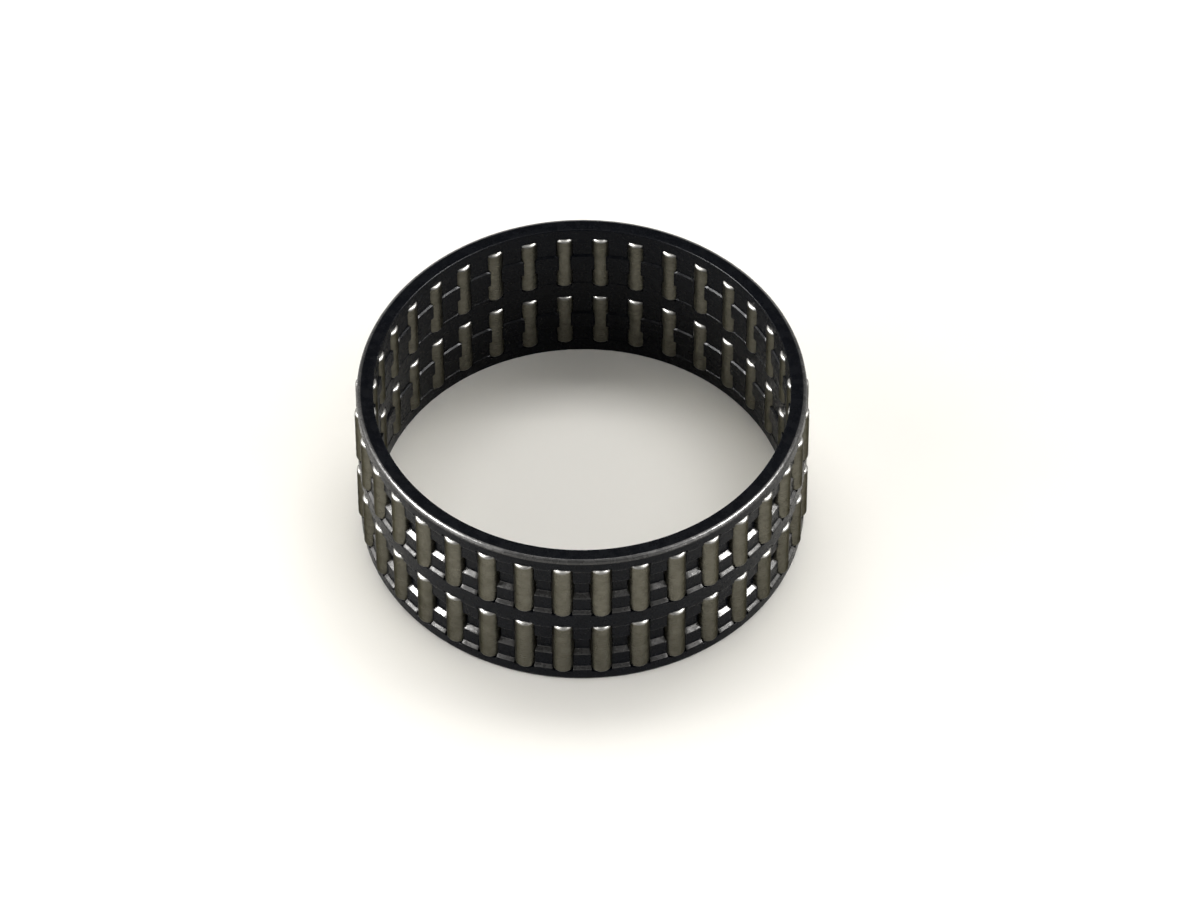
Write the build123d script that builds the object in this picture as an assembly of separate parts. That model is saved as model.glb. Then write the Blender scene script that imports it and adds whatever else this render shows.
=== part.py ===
from build123d import *
from math import cos, radians, sin, tan
import os

# Needle roller and cage assembly, double row. A one-piece steel cage holds two rows of needle
# rollers, which stand proud of it inside and outside and run straight on a shaft and in a bore.
# Millimetres. The bearing axis is Z, and the origin is on it, halfway between the end faces.

# Envelope
SHAFT_RADIUS = 37.5
HOUSING_RADIUS = 41.5
WIDTH = 34.0
NEEDLES_PER_ROW = 36

# Needle rollers
NEEDLE_LENGTH = 12.8
NEEDLE_CORNER_RADIUS = 0.55
NEEDLE_RADIUS = (HOUSING_RADIUS - SHAFT_RADIUS) / 2
PITCH_RADIUS = (HOUSING_RADIUS + SHAFT_RADIUS) / 2

# Cage: its end rims and middle band are full rings, and its webs are M-shaped in section
CAGE_OUTER_RADIUS = 41.0
CAGE_INNER_RADIUS = 38.0
END_RIM_WIDTH = 2.45
RIM_OUTER_EDGE_RADIUS = 0.8
RIM_INNER_EDGE_RADIUS = 0.2
SHOULDER_OUTER_RADIUS = 40.4    # the web's raised ends
SHOULDER_INNER_RADIUS = 38.1
WAIST_OUTER_RADIUS = 39.5       # the web's sunken middle
WAIST_INNER_RADIUS = 37.75
SHOULDER_STEP_FROM_POCKET_END = 0.75
WAIST_STEP_FROM_POCKET_END = 4.6
STEP_SLOPE = 35                 # degrees between a step's face and the radial direction

# Pockets
RUNNING_CLEARANCE = 0.06
END_PLAY = 0.2
POCKET_LENGTH = NEEDLE_LENGTH + END_PLAY
POCKET_MOUTH_WIDTH = 3.75       # narrower than a needle, so the needle snaps in and stays in
MIDDLE_BAND_WIDTH = WIDTH - 2 * END_RIM_WIDTH - 2 * POCKET_LENGTH
ROW_CENTRE_HEIGHT = (MIDDLE_BAND_WIDTH + POCKET_LENGTH) / 2
ROW_HEIGHTS = (-ROW_CENTRE_HEIGHT, ROW_CENTRE_HEIGHT)
ANGLE_STEP = 360 / NEEDLES_PER_ROW
FIRST_NEEDLE_ANGLE = -90 + ANGLE_STEP / 2


def step(centre_height, lower_radius, upper_radius):
    """Two profile points of one sloping step, from its lower end to its upper end."""
    half_height = abs(upper_radius - lower_radius) * tan(radians(STEP_SLOPE)) / 2
    return [(lower_radius, centre_height - half_height), (upper_radius, centre_height + half_height)]


def row_steps(row_height, band_radius, shoulder_radius, waist_radius):
    """Profile points of the four steps that one row's webs have on one side, bottom to top."""
    bottom = row_height - POCKET_LENGTH / 2
    top = row_height + POCKET_LENGTH / 2
    return (
        step(bottom + SHOULDER_STEP_FROM_POCKET_END, band_radius, shoulder_radius)
        + step(bottom + WAIST_STEP_FROM_POCKET_END, shoulder_radius, waist_radius)
        + step(top - WAIST_STEP_FROM_POCKET_END, waist_radius, shoulder_radius)
        + step(top - SHOULDER_STEP_FROM_POCKET_END, shoulder_radius, band_radius)
    )


def cage_section():
    """Half section of the cage, in the XZ plane, with its rim edges rounded."""
    outside = []
    inside = []
    for row_height in ROW_HEIGHTS:
        outside += row_steps(row_height, CAGE_OUTER_RADIUS, SHOULDER_OUTER_RADIUS, WAIST_OUTER_RADIUS)
        inside += row_steps(row_height, CAGE_INNER_RADIUS, SHOULDER_INNER_RADIUS, WAIST_INNER_RADIUS)
    outline = [(CAGE_OUTER_RADIUS, -WIDTH / 2)] + outside + [(CAGE_OUTER_RADIUS, WIDTH / 2)]
    outline += [(CAGE_INNER_RADIUS, WIDTH / 2)] + inside[::-1] + [(CAGE_INNER_RADIUS, -WIDTH / 2)]
    section = make_face(Plane.XZ * Polyline(outline, close=True))
    rim_edges = ((CAGE_OUTER_RADIUS, RIM_OUTER_EDGE_RADIUS), (CAGE_INNER_RADIUS, RIM_INNER_EDGE_RADIUS))
    for edge_radius, rounding in rim_edges:
        corners = [corner for corner in section.vertices()
                   if abs(abs(corner.Z) - WIDTH / 2) < 0.01 and abs(corner.X - edge_radius) < 0.01]
        section = fillet(corners, rounding)
    return section


def needle_place(number, height):
    """Where needle number 0, 1, 2... of a row stands, with its own X pointing outward."""
    angle = FIRST_NEEDLE_ANGLE + number * ANGLE_STEP
    x = PITCH_RADIUS * cos(radians(angle))
    y = PITCH_RADIUS * sin(radians(angle))
    return Pos(x, y, height) * Rot(0, 0, angle)


def needle():
    """One needle roller standing on Z, its end corners rounded."""
    blank = Cylinder(NEEDLE_RADIUS, NEEDLE_LENGTH)
    return fillet(blank.edges().filter_by(GeomType.CIRCLE), NEEDLE_CORNER_RADIUS)


def pocket():
    """The cut for one needle: a bore that fits it, and a straight mouth that opens outward."""
    fit = Cylinder(NEEDLE_RADIUS + RUNNING_CLEARANCE, POCKET_LENGTH)
    mouth_depth = 2 * NEEDLE_RADIUS
    return fit + Pos(mouth_depth / 2, 0, 0) * Box(mouth_depth, POCKET_MOUTH_WIDTH, POCKET_LENGTH)


def cage():
    """The whole cage: the section turned about Z, with both rows of pockets cut through it."""
    ring = revolve(cage_section(), Axis.Z)
    cut = pocket()
    places = [needle_place(number, height)
              for height in ROW_HEIGHTS for number in range(NEEDLES_PER_ROW)]
    return ring - [place * cut for place in places]


def needle_pair(number):
    """The two needles that stand in line, one in each row, as separate solids."""
    roller = needle()
    return Compound([needle_place(number, height) * roller for height in ROW_HEIGHTS])


os.makedirs("parts", exist_ok=True)
export_step(cage(), "parts/cage.step")
for number in range(NEEDLES_PER_ROW):
    export_step(needle_pair(number), f"parts/needle_pair_{number + 1:02d}.step")
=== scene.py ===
from math import atan2, cos, hypot, pi, radians, sin, sqrt, tan

import bmesh
import bpy
from mathutils import Matrix, Vector


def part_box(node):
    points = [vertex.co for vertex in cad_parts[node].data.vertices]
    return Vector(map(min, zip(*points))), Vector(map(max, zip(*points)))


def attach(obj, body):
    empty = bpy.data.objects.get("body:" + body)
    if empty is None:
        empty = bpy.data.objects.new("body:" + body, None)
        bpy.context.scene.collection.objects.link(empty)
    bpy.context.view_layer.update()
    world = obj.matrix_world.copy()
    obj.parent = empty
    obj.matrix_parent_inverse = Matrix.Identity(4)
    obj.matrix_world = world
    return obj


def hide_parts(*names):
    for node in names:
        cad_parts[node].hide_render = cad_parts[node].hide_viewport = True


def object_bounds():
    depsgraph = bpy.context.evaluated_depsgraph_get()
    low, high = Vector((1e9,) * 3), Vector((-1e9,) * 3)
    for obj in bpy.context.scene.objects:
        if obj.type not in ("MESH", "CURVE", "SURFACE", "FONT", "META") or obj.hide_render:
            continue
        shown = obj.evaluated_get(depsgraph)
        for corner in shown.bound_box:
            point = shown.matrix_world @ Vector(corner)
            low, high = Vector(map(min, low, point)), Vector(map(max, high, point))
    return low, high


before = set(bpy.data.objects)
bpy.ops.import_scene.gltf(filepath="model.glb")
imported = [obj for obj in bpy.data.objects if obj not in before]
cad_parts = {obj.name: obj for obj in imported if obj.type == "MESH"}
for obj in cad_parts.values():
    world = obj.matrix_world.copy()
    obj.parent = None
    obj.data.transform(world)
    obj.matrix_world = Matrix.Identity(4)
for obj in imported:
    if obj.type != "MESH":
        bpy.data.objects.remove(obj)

CAD_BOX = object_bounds()
MM = 0.001

# The CAD's own sizes in millimetres, read off the frame or repeated here
PAIRS = sorted(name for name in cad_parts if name.startswith("needle_pair"))
NEEDLES_PER_ROW = len(PAIRS)
ANGLE_STEP = 2 * pi / NEEDLES_PER_ROW
CAGE_LOW, CAGE_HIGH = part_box("cage")
WIDTH = (CAGE_HIGH[2] - CAGE_LOW[2]) / MM
CAGE_OUTER_RADIUS = 41.0
CAGE_INNER_RADIUS = 38.0
PITCH_RADIUS = 39.5
NEEDLE_RADIUS = 2.0
NEEDLE_LENGTH = 12.8
NEEDLE_CORNER_RADIUS = 0.55
POCKET_FIT_RADIUS = 2.06
POCKET_LENGTH = 13.0
POCKET_MOUTH_WIDTH = 3.75
END_RIM_WIDTH = 2.45
ROW_CENTRE_HEIGHT = (WIDTH - 2 * END_RIM_WIDTH - POCKET_LENGTH) / 2
ROW_HEIGHTS = (-ROW_CENTRE_HEIGHT, ROW_CENTRE_HEIGHT)
RIM_OUTER_EDGE_RADIUS = 0.8
RIM_INNER_EDGE_RADIUS = 0.2
SHOULDER_OUTER_RADIUS = 40.4
SHOULDER_INNER_RADIUS = 38.1
WAIST_OUTER_RADIUS = 39.5
WAIST_INNER_RADIUS = 37.75
SHOULDER_STEP_FROM_POCKET_END = 0.75
WAIST_STEP_FROM_POCKET_END = 4.6
STEP_SLOPE = radians(35)
FIRST_ANGLE = radians(-90) + ANGLE_STEP / 2
FLOOR_HEIGHT = CAD_BOX[0][2]    # in metres

# Roundings that only the visible cage has, in millimetres
OUTER_BEND_RADIUS = 0.22
INNER_BEND_RADIUS = 0.05
SOFTENED_EDGE_WIDTH = 0.08

# How finely the meshes are divided
BEND_SEGMENTS = 2
RIM_OUTER_EDGE_SEGMENTS = 7
RIM_INNER_EDGE_SEGMENTS = 3
NEEDLE_CORNER_SEGMENTS = 8
NEEDLE_SIDES = 44
WALL_SAMPLES = 8                # down a pocket's side wall
WINDOW_COLUMNS = 5              # across a pocket
WEB_COLUMNS = 5                 # across a web

# Rings that hold a needle's flat ends and straight flank true, in millimetres
END_RING_RADIUS = 0.8
FLANK_RING_FROM_CORNER = 0.15
# Where the lighter corner steel starts: part wear, part painted sheen
WEAR_AND_SHEEN_FROM_CORNER = 0.05

# The view down into the bearing from the front, in degrees and metres
VIEW_AZIMUTH = -90 + 0.36
VIEW_ELEVATION = 50.65
VIEW_DISTANCE = 1.41
VIEW_YAW = -0.099
VIEW_PITCH = 0.392
VIEW_ROLL = 0.364


# ---------------------------------------------------------------- geometry helpers

def new_object(name, mesh):
    """Links a new object that holds the mesh, and smooths its faces."""
    obj = bpy.data.objects.new(name, mesh)
    bpy.context.scene.collection.objects.link(obj)
    for polygon in mesh.polygons:
        polygon.use_smooth = True
    return obj


def arc_corner(before, corner, after, radius, segments):
    """Points of the arc that rounds a polyline's corner, from the side of before to that of after."""
    to_before = (Vector(before) - Vector(corner)).normalized()
    to_after = (Vector(after) - Vector(corner)).normalized()
    half_angle = to_before.angle(to_after) / 2
    setback = radius / tan(half_angle)
    centre = Vector(corner) + (to_before + to_after).normalized() * (radius / sin(half_angle))
    start = Vector(corner) + to_before * setback - centre
    turn = start.angle_signed(Vector(corner) + to_after * setback - centre)
    return [tuple(centre + Matrix.Rotation(-turn * part / segments, 2) @ start)
            for part in range(segments + 1)]


# ---------------------------------------------------------------- cage

def step(centre_height, lower_radius, upper_radius):
    """Two profile points of one sloping step, from its lower end to its upper end."""
    half_height = abs(upper_radius - lower_radius) * tan(STEP_SLOPE) / 2
    return [(lower_radius, centre_height - half_height), (upper_radius, centre_height + half_height)]


def web_profile(row_height, band_radius, shoulder_radius, waist_radius, bend_radius):
    """(radius, height) points up one side of a row's webs, its bends rounded into arcs."""
    bottom = row_height - POCKET_LENGTH / 2
    top = row_height + POCKET_LENGTH / 2
    corners = [(band_radius, bottom)]
    corners += step(bottom + SHOULDER_STEP_FROM_POCKET_END, band_radius, shoulder_radius)
    corners += step(bottom + WAIST_STEP_FROM_POCKET_END, shoulder_radius, waist_radius)
    corners += step(top - WAIST_STEP_FROM_POCKET_END, waist_radius, shoulder_radius)
    corners += step(top - SHOULDER_STEP_FROM_POCKET_END, shoulder_radius, band_radius)
    corners += [(band_radius, top)]
    points = [corners[0]]
    for before, corner, after in zip(corners, corners[1:], corners[2:]):
        points += arc_corner(before, corner, after, bend_radius, BEND_SEGMENTS)
    return points + [corners[-1]]


def cage_levels():
    """The levels of the cage's wall, bottom to top, and the first and last level of each row.

    A level is the (radius, height) of its outer point, then that of its inner point.
    """
    outer_end = WIDTH / 2 - RIM_OUTER_EDGE_RADIUS
    inner_end = WIDTH / 2 - RIM_INNER_EDGE_RADIUS
    levels = [((CAGE_OUTER_RADIUS, -outer_end), (CAGE_INNER_RADIUS, -inner_end))]
    rows = []
    for row_height in ROW_HEIGHTS:
        outside = web_profile(row_height, CAGE_OUTER_RADIUS, SHOULDER_OUTER_RADIUS, WAIST_OUTER_RADIUS,
                              OUTER_BEND_RADIUS)
        inside = web_profile(row_height, CAGE_INNER_RADIUS, SHOULDER_INNER_RADIUS, WAIST_INNER_RADIUS,
                             INNER_BEND_RADIUS)
        rows.append((len(levels), len(levels) + len(outside) - 1))
        levels += list(zip(outside, inside))
    levels.append(((CAGE_OUTER_RADIUS, outer_end), (CAGE_INNER_RADIUS, inner_end)))
    return levels, rows


def rim_cap(side):
    """(radius, height) points over one rim's end face, from its outer edge round to its inner edge."""
    end = side * WIDTH / 2
    outer_edge = arc_corner((CAGE_OUTER_RADIUS, 0), (CAGE_OUTER_RADIUS, end), (PITCH_RADIUS, end),
                            RIM_OUTER_EDGE_RADIUS, RIM_OUTER_EDGE_SEGMENTS)
    inner_edge = arc_corner((PITCH_RADIUS, end), (CAGE_INNER_RADIUS, end), (CAGE_INNER_RADIUS, 0),
                            RIM_INNER_EDGE_RADIUS, RIM_INNER_EDGE_SEGMENTS)
    return outer_edge + inner_edge


def pocket_half_width(x):
    """Half the pocket's width at distance x from the bearing axis, along the needle's own radius."""
    bore = sqrt(max(POCKET_FIT_RADIUS ** 2 - (x - PITCH_RADIUS) ** 2, 0))
    return max(POCKET_MOUTH_WIDTH / 2, bore) if x > PITCH_RADIUS else bore


def pocket_wall(outer_radius, inner_radius, samples):
    """(radius, angle from the needle's own radius) down a pocket's side wall, outside to inside."""
    ends = []
    for radius in (outer_radius, inner_radius):
        x = radius
        for _ in range(8):
            x = sqrt(radius ** 2 - pocket_half_width(x) ** 2)
        ends.append(x)
    wall = []
    for sample in range(samples + 1):
        x = ends[0] + (ends[1] - ends[0]) * sample / samples
        y = pocket_half_width(x)
        wall.append((hypot(x, y), atan2(y, x)))
    return wall


def cage_mesh():
    """The whole cage: full rings at the rims and the band, and webs between the pockets of each row."""
    bm = bmesh.new()
    wear_and_sheen = bm.verts.layers.float.new("wear_and_sheen")
    levels, rows = cage_levels()
    columns = WINDOW_COLUMNS + WEB_COLUMNS
    walls = [pocket_wall(outer[0], inner[0], WALL_SAMPLES) for outer, inner in levels]
    in_row = [any(low <= level < high for low, high in rows) for level in range(len(levels))]
    points = {}

    def vert(key, radius, angle, height, worn_and_sheen=0.0):
        """The vertex of that key, made when it is first asked for."""
        if key not in points:
            points[key] = bm.verts.new((radius * cos(angle) * MM,
                                        radius * sin(angle) * MM,
                                        height * MM))
            points[key][wear_and_sheen] = worn_and_sheen
        return points[key]

    def column_angle(column, edge_angle):
        """Angle of a column from its needle's radius: first over the pocket, then over the web."""
        if column <= WINDOW_COLUMNS:
            return edge_angle * (2 * column / WINDOW_COLUMNS - 1)
        share = (column - WINDOW_COLUMNS) / WEB_COLUMNS
        return edge_angle + (ANGLE_STEP - 2 * edge_angle) * share

    def on_slope(level):
        """Whether the outer surface slopes here, on a step or its bend, where the steel is polished:
        part handling wear, part painted sheen that brightens the lamps' highlights on the slopes.
        """
        if level in (0, len(levels) - 1):
            return False
        below, here, above = (levels[near][0][0] for near in (level - 1, level, level + 1))
        return min(abs(here - below), abs(above - here)) > 0.001

    def surface(level, side, sector, column):
        """Vertex on the outer (0) or inner (1) surface."""
        sector, column = (sector + column // columns) % NEEDLES_PER_ROW, column % columns
        radius, height = levels[level][side]
        edge_angle = walls[level][0 if side == 0 else -1][1]
        angle = FIRST_ANGLE + sector * ANGLE_STEP + column_angle(column, edge_angle)
        # Polished steel on the outer slopes: part wear, part painted sheen for the highlights on them
        worn_and_sheen = 1.0 if side == 0 and on_slope(level) else 0.0
        return vert((level, side, sector, column), radius, angle, height, worn_and_sheen)

    def across(level, sector, column, sample):
        """Vertex inside the wall's thickness, on a pocket's side wall or end face."""
        if sample in (0, WALL_SAMPLES):
            return surface(level, 0 if sample == 0 else 1, sector, column)
        radius, edge_angle = walls[level][sample]
        (_, outer_height), (_, inner_height) = levels[level]
        height = outer_height + (inner_height - outer_height) * sample / WALL_SAMPLES
        angle = FIRST_ANGLE + sector * ANGLE_STEP + column_angle(column, edge_angle)
        return vert((level, "across", sector, column, sample), radius, angle, height)

    def quad(corners, turned):
        """One face, its corners taken the other way round where it is turned."""
        bm.faces.new(corners[::-1] if turned else corners)

    for sector in range(NEEDLES_PER_ROW):
        for level in range(len(levels) - 1):
            first = WINDOW_COLUMNS if in_row[level] else 0
            for column in range(first, columns):
                for side in (0, 1):
                    quad([surface(level, side, sector, column),
                          surface(level, side, sector, column + 1),
                          surface(level + 1, side, sector, column + 1),
                          surface(level + 1, side, sector, column)], turned=side == 1)
            if in_row[level]:
                for sample in range(WALL_SAMPLES):
                    for column, turned in ((WINDOW_COLUMNS, False), (0, True)):
                        quad([across(level, sector, column, sample),
                              across(level + 1, sector, column, sample),
                              across(level + 1, sector, column, sample + 1),
                              across(level, sector, column, sample + 1)], turned)
        for low, high in rows:
            for level, turned in ((low, False), (high, True)):
                for column in range(WINDOW_COLUMNS):
                    for sample in range(WALL_SAMPLES):
                        quad([across(level, sector, column, sample),
                              across(level, sector, column + 1, sample),
                              across(level, sector, column + 1, sample + 1),
                              across(level, sector, column, sample + 1)], turned)
    for level, end in ((0, -1), (len(levels) - 1, 1)):
        cap = rim_cap(end)
        outer_angle, inner_angle = walls[level][0][1], walls[level][-1][1]

        def on_cap(sector, column, index):
            """Vertex on this rim's end face, or on one of its rounded edges."""
            sector, column = (sector + column // columns) % NEEDLES_PER_ROW, column % columns
            if index in (0, len(cap) - 1):
                return surface(level, 0 if index == 0 else 1, sector, column)
            radius, height = cap[index]
            share = (CAGE_OUTER_RADIUS - radius) / (CAGE_OUTER_RADIUS - CAGE_INNER_RADIUS)
            edge_angle = outer_angle + (inner_angle - outer_angle) * share
            angle = FIRST_ANGLE + sector * ANGLE_STEP + column_angle(column, edge_angle)
            # The rim's rounded outer edge is polished too: part wear, part painted sheen for its
            # highlight line
            worn_and_sheen = 1.0 if index < RIM_OUTER_EDGE_SEGMENTS else 0.0
            return vert((level, "cap", sector, column, index), radius, angle, height, worn_and_sheen)

        for sector in range(NEEDLES_PER_ROW):
            for column in range(columns):
                for index in range(len(cap) - 1):
                    quad([on_cap(sector, column, index),
                          on_cap(sector, column + 1, index),
                          on_cap(sector, column + 1, index + 1),
                          on_cap(sector, column, index + 1)], turned=end < 0)
    bmesh.ops.recalc_face_normals(bm, faces=bm.faces)
    mesh = bpy.data.meshes.new("cage_of_steel")
    bm.to_mesh(mesh)
    bm.free()
    return mesh


# ---------------------------------------------------------------- needles

def needle_profile():
    """(radius, height) points up one needle, from the middle of one end to the middle of the other."""
    half = NEEDLE_LENGTH / 2
    flank = half - NEEDLE_CORNER_RADIUS - FLANK_RING_FROM_CORNER
    lower = arc_corner((0, -half), (NEEDLE_RADIUS, -half), (NEEDLE_RADIUS, 0),
                       NEEDLE_CORNER_RADIUS, NEEDLE_CORNER_SEGMENTS)
    upper = arc_corner((NEEDLE_RADIUS, 0), (NEEDLE_RADIUS, half), (0, half),
                       NEEDLE_CORNER_RADIUS, NEEDLE_CORNER_SEGMENTS)
    return ([(0, -half), (END_RING_RADIUS, -half)] + lower
            + [(NEEDLE_RADIUS, -flank), (NEEDLE_RADIUS, flank)]
            + upper + [(END_RING_RADIUS, half), (0, half)])


def needle_pair_mesh(name):
    """The two needles that stand in line, turned from one profile, about that pair's axis."""
    # The corner arcs get lighter steel: part wear, part painted sheen for the lamps' dots
    wear_and_sheen_height = NEEDLE_LENGTH / 2 - NEEDLE_CORNER_RADIUS + WEAR_AND_SHEEN_FROM_CORNER
    low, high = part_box(name)
    centre_x, centre_y = (low[0] + high[0]) / 2, (low[1] + high[1]) / 2
    bm = bmesh.new()
    wear_and_sheen = bm.verts.layers.float.new("wear_and_sheen")
    for row_height in ROW_HEIGHTS:
        rings = []
        for radius, height in needle_profile():
            z = (row_height + height) * MM
            count = NEEDLE_SIDES if radius else 1
            rings.append([bm.verts.new((centre_x + radius * MM * cos(2 * pi * side / count),
                                        centre_y + radius * MM * sin(2 * pi * side / count), z))
                          for side in range(count)])
            on_corner = abs(height) > wear_and_sheen_height and radius > END_RING_RADIUS
            for made in rings[-1]:
                made[wear_and_sheen] = 1.0 if on_corner else 0.0
        for below, above in zip(rings, rings[1:]):
            for side in range(NEEDLE_SIDES):
                after = (side + 1) % NEEDLE_SIDES
                corners = [below[side % len(below)], below[after % len(below)],
                           above[after % len(above)], above[side % len(above)]]
                bm.faces.new(list(dict.fromkeys(corners)))
    mesh = bpy.data.meshes.new(name + "_turned")
    bm.to_mesh(mesh)
    bm.free()
    return mesh


# ---------------------------------------------------------------- materials

def new_material(name):
    """An empty node material with its Principled shader and output in place."""
    material = bpy.data.materials.new(name)
    material.use_nodes = True
    shader = material.node_tree.nodes["Principled BSDF"]
    return material, shader


def node(material, kind, **values):
    """Adds one node and sets its input sockets by name."""
    made = material.node_tree.nodes.new(kind)
    for socket, value in values.items():
        made.inputs[socket.replace("_", " ")].default_value = value
    return made


def link(material, source, output, target, socket):
    """Joins one node's output to another node's input."""
    material.node_tree.links.new(source.outputs[output], target.inputs[socket])


def noise(material, scale, detail, stretch=(1, 1, 1)):
    """Noise in object space, scale in features per millimetre, stretched along the axes."""
    place = material.node_tree.nodes.new("ShaderNodeTexCoord")
    mapping = node(material, "ShaderNodeMapping")
    mapping.inputs["Scale"].default_value = [scale / MM * share for share in stretch]
    texture = node(material, "ShaderNodeTexNoise", Scale=1.0, Detail=detail, Roughness=0.6)
    link(material, place, "Object", mapping, "Vector")
    link(material, mapping, "Vector", texture, "Vector")
    return texture


def ramp(material, source, output, stops):
    """Maps a value to a colour through (position, colour) stops."""
    made = material.node_tree.nodes.new("ShaderNodeValToRGB")
    elements = made.color_ramp.elements
    while len(elements) < len(stops):
        elements.new(0.5)
    for element, (position, colour) in zip(elements, stops):
        element.position = position
        element.color = (*colour, 1)
    link(material, source, output, made, "Fac")
    return made


def map_range(material, source, output, low, high, start=0.3, end=0.7):
    """Maps a value from start...end to low...high."""
    made = material.node_tree.nodes.new("ShaderNodeMapRange")
    made.inputs["From Min"].default_value = start
    made.inputs["From Max"].default_value = end
    made.inputs["To Min"].default_value = low
    made.inputs["To Max"].default_value = high
    link(material, source, output, made, "Value")
    return made


def wear_and_sheen_share(material, broken_by, low, high):
    """Where the mesh marks polished steel, broken up by a noise so that it is uneven: part wear, part
    painted sheen that brightens the lamps' highlights there.
    """
    edge = material.node_tree.nodes.new("ShaderNodeAttribute")
    edge.attribute_name = "wear_and_sheen"
    patches = map_range(material, broken_by, "Fac", low, high)
    share = material.node_tree.nodes.new("ShaderNodeMath")
    share.operation = "MULTIPLY"
    link(material, edge, "Fac", share, 0)
    link(material, patches, "Result", share, 1)
    return share


def mix(material, share, first, first_output, second):
    """Mixes a linked colour towards a fixed one by the share."""
    made = material.node_tree.nodes.new("ShaderNodeMixRGB")
    made.inputs["Color2"].default_value = (*second, 1)
    link(material, share, 0, made, "Fac")
    link(material, first, first_output, made, "Color1")
    return made


def blackened_steel():
    """Black phosphated steel under oil: a fine crystal grain, mottled, and polished on the outer slopes
    and the rim's outer edge: part handling wear, part painted sheen that brightens the lamps'
    highlights there.
    """
    material, shader = new_material("blackened_steel")
    mottle = noise(material, 0.35, 3)
    colour = ramp(material, mottle, "Fac", [(0.3, (0.0008, 0.0012, 0.0022)),
                                            (0.7, (0.0020, 0.0025, 0.0040))])
    # Polished metal where the mesh marks it: part wear, part painted sheen that brightens the
    # highlights on the slopes and rim edge
    worn_and_sheen = wear_and_sheen_share(material, noise(material, 1.1, 3), 0.45, 0.8)
    wear_and_sheen_colour = mix(material, worn_and_sheen, colour, "Color", (0.085, 0.083, 0.080))
    link(material, wear_and_sheen_colour, "Color", shader, "Base Color")
    link(material, worn_and_sheen, 0, shader, "Metallic")
    patches = noise(material, 0.6, 4)
    roughness = map_range(material, patches, "Fac", 0.22, 0.32)
    link(material, roughness, "Result", shader, "Roughness")
    grain = noise(material, 9.0, 2)
    bump = node(material, "ShaderNodeBump", Strength=0.25, Distance=0.00001)
    link(material, grain, "Fac", bump, "Height")
    link(material, bump, "Normal", shader, "Normal")
    shader.inputs["IOR"].default_value = 1.15
    return material


def needle_steel():
    """Ground bearing steel, dark under oil: fine lines round it, stains, and lighter, rougher end
    corners, part wear and part painted sheen for the lamps' dots on them.
    """
    material, shader = new_material("needle_steel")
    stain = noise(material, 0.5, 4)
    colour = ramp(material, stain, "Fac", [(0.3, (0.098, 0.094, 0.076)),
                                           (0.7, (0.140, 0.134, 0.110))])
    # Lighter, rougher steel on the end corners: part wear, part painted sheen for the lamps' dots
    worn_and_sheen = wear_and_sheen_share(material, noise(material, 0.8, 2), 0.7, 0.95)
    wear_and_sheen_colour = mix(material, worn_and_sheen, colour, "Color", (0.17, 0.167, 0.16))
    link(material, wear_and_sheen_colour, "Color", shader, "Base Color")
    lines = noise(material, 1.0, 3, stretch=(0.4, 0.4, 14))
    roughness = map_range(material, lines, "Fac", 0.24, 0.34)
    tumbled = material.node_tree.nodes.new("ShaderNodeMath")
    tumbled.operation = "MULTIPLY_ADD"
    tumbled.inputs[1].default_value = 0.16
    link(material, worn_and_sheen, 0, tumbled, 0)
    link(material, roughness, "Result", tumbled, 2)
    link(material, tumbled, 0, shader, "Roughness")
    bump = node(material, "ShaderNodeBump", Strength=0.15, Distance=0.000008)
    link(material, lines, "Fac", bump, "Height")
    link(material, bump, "Normal", shader, "Normal")
    shader.inputs["Metallic"].default_value = 1.0
    shader.inputs["Specular Tint"].default_value = (0.25, 0.25, 0.25, 1)
    return material


def floor_paper():
    """Warm white studio paper."""
    material, shader = new_material("floor_paper")
    fibre = noise(material, 0.05, 2)
    colour = ramp(material, fibre, "Fac", [(0.3, (0.855, 0.832, 0.778)),
                                           (0.7, (0.865, 0.842, 0.788))])
    link(material, colour, "Color", shader, "Base Color")
    shader.inputs["Roughness"].default_value = 0.9
    shader.inputs["Specular IOR Level"].default_value = 0.2
    return material


# ---------------------------------------------------------------- the object

def build_cage():
    """The visible cage, its pocket edges softened, and the shading of its flats kept flat."""
    cage = new_object("cage_of_steel", cage_mesh())
    cage.data.materials.append(blackened_steel())
    soften = cage.modifiers.new("softened_edges", "BEVEL")
    soften.width = SOFTENED_EDGE_WIDTH * MM
    soften.segments = 2
    soften.limit_method = "ANGLE"
    soften.angle_limit = radians(40)
    soften.use_clamp_overlap = False
    cage.modifiers.new("true_flats", "WEIGHTED_NORMAL")
    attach(cage, "cage")
    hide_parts("cage")


def build_needles():
    """The visible needles, one piece for each pair, so that each pair turns on its own hinge."""
    steel = needle_steel()
    for name in PAIRS:
        pair = new_object(name + "_turned", needle_pair_mesh(name))
        pair.data.materials.append(steel)
        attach(pair, name)
        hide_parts(name)


# ---------------------------------------------------------------- studio

def build_floor():
    """A plain square floor under the bearing."""
    bm = bmesh.new()
    reach = 3.0
    corners = [(-reach, -reach), (reach, -reach), (reach, reach), (-reach, reach)]
    bm.faces.new([bm.verts.new((x, y, FLOOR_HEIGHT)) for x, y in corners])
    mesh = bpy.data.meshes.new("floor")
    bm.to_mesh(mesh)
    bm.free()
    floor = new_object("floor", mesh)
    floor.data.materials.append(floor_paper())


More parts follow.
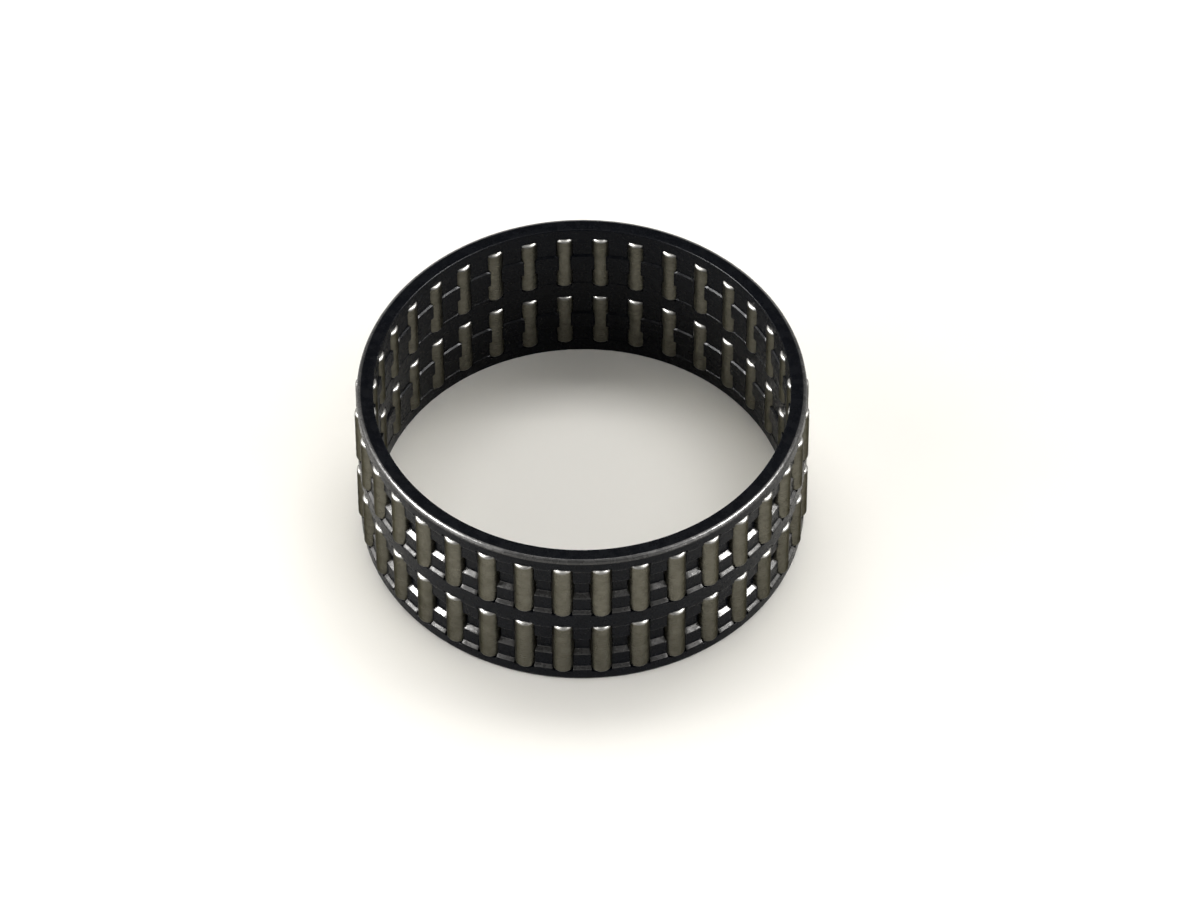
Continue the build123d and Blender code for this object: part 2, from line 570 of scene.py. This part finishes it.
def add_softbox(name, azimuth, elevation, distance, width, height, radiance):
    """A softbox that looks at the bearing. Azimuth 0 is behind the camera, and 90 is to its right."""
    a, e = radians(azimuth - 90), radians(elevation)
    place = Vector((cos(a) * cos(e), sin(a) * cos(e), sin(e))) * distance
    lamp = bpy.data.lights.new(name, "AREA")
    lamp.shape = "RECTANGLE"
    lamp.size = width
    lamp.size_y = height
    lamp.energy = 4 * radiance * width * height
    obj = bpy.data.objects.new(name, lamp)
    obj.location = place
    obj.rotation_euler = (-place).to_track_quat("-Z", "Y").to_euler()
    obj.visible_camera = False
    bpy.context.scene.collection.objects.link(obj)
    return obj


HIGHLIGHT_LAMPS = [
    # name, azimuth, elevation, distance, width, height, radiance
    ("left_key", -86, 46, 1.2, 0.45, 0.45, 110.0),
    ("right_key", 86, 46, 1.2, 0.45, 0.45, 75.0),
]
SOFTBOXES = [
    # name, azimuth, elevation, distance, width, height, radiance
    ("back_high", 180, 70, 1.5, 1.3, 0.45, 5.6),
    ("back_low", 180, 14, 1.5, 1.6, 0.5, 3.3),
    ("right_back_high", 130, 62, 1.5, 0.7, 0.5, 0.8),
    ("right_high", 90, 66, 1.5, 0.6, 0.6, 0.7),
    ("right_front_high", 45, 62, 1.5, 0.6, 0.6, 2.5),
    ("left_front_low", -55, 12, 1.5, 1.0, 0.5, 6.6),
    ("right_front_low", 55, 12, 1.5, 1.0, 0.5, 5.2),
    ("left_low", -95, 14, 1.5, 1.2, 0.5, 4.5),
    ("right_low", 95, 14, 1.5, 1.2, 0.5, 1.6),
]


def light_studio():
    """A white glow low down all round, softboxes round the floor, and two lamps seen only in gloss."""
    world = bpy.data.worlds.new("studio")
    world.use_nodes = True
    nodes, links = world.node_tree.nodes, world.node_tree.links
    direction = nodes.new("ShaderNodeTexCoord")
    parts = nodes.new("ShaderNodeSeparateXYZ")
    glow = nodes.new("ShaderNodeMapRange")
    glow.inputs["From Min"].default_value = 0.3
    glow.inputs["From Max"].default_value = 0.6
    glow.inputs["To Min"].default_value = 0.9
    glow.inputs["To Max"].default_value = 0.03
    links.new(direction.outputs["Generated"], parts.inputs["Vector"])
    links.new(parts.outputs["Z"], glow.inputs["Value"])
    links.new(glow.outputs["Result"], nodes["Background"].inputs["Strength"])
    nodes["Background"].inputs["Color"].default_value = (1, 1, 1, 1)
    bpy.context.scene.world = world
    for softbox in SOFTBOXES:
        add_softbox(*softbox)
    for lamp in HIGHLIGHT_LAMPS:
        add_softbox(*lamp).visible_diffuse = False


def turned(vector, axis, degrees):
    """The vector turned about the axis."""
    return Matrix.Rotation(radians(degrees), 3, axis) @ vector


def add_camera():
    """A long lens looking down into the bearing from the front."""
    target = Vector((0, 0, FLOOR_HEIGHT))
    azimuth, elevation = radians(VIEW_AZIMUTH), radians(VIEW_ELEVATION)
    place = target + VIEW_DISTANCE * Vector((cos(azimuth) * cos(elevation),
                                             sin(azimuth) * cos(elevation), sin(elevation)))
    forward = (target - place).normalized()
    right = forward.cross(Vector((0, 0, 1))).normalized()
    up = right.cross(forward)
    forward, right = turned(forward, up, VIEW_YAW), turned(right, up, VIEW_YAW)
    forward = turned(forward, right, VIEW_PITCH)
    up = right.cross(forward)
    right, up = turned(right, forward, VIEW_ROLL), turned(up, forward, VIEW_ROLL)
    camera = bpy.data.cameras.new("camera")
    camera.sensor_width = 36
    camera.lens = 230.2
    camera.clip_end = 20
    obj = bpy.data.objects.new("camera", camera)
    obj.matrix_world = Matrix.Translation(place) @ Matrix((right, up, -forward)).transposed().to_4x4()
    bpy.context.scene.collection.objects.link(obj)
    bpy.context.scene.camera = obj


build_cage()
build_needles()
build_floor()
light_studio()
add_camera()
bpy.context.scene.view_settings.view_transform = "Standard"

bpy.context.view_layer.update()
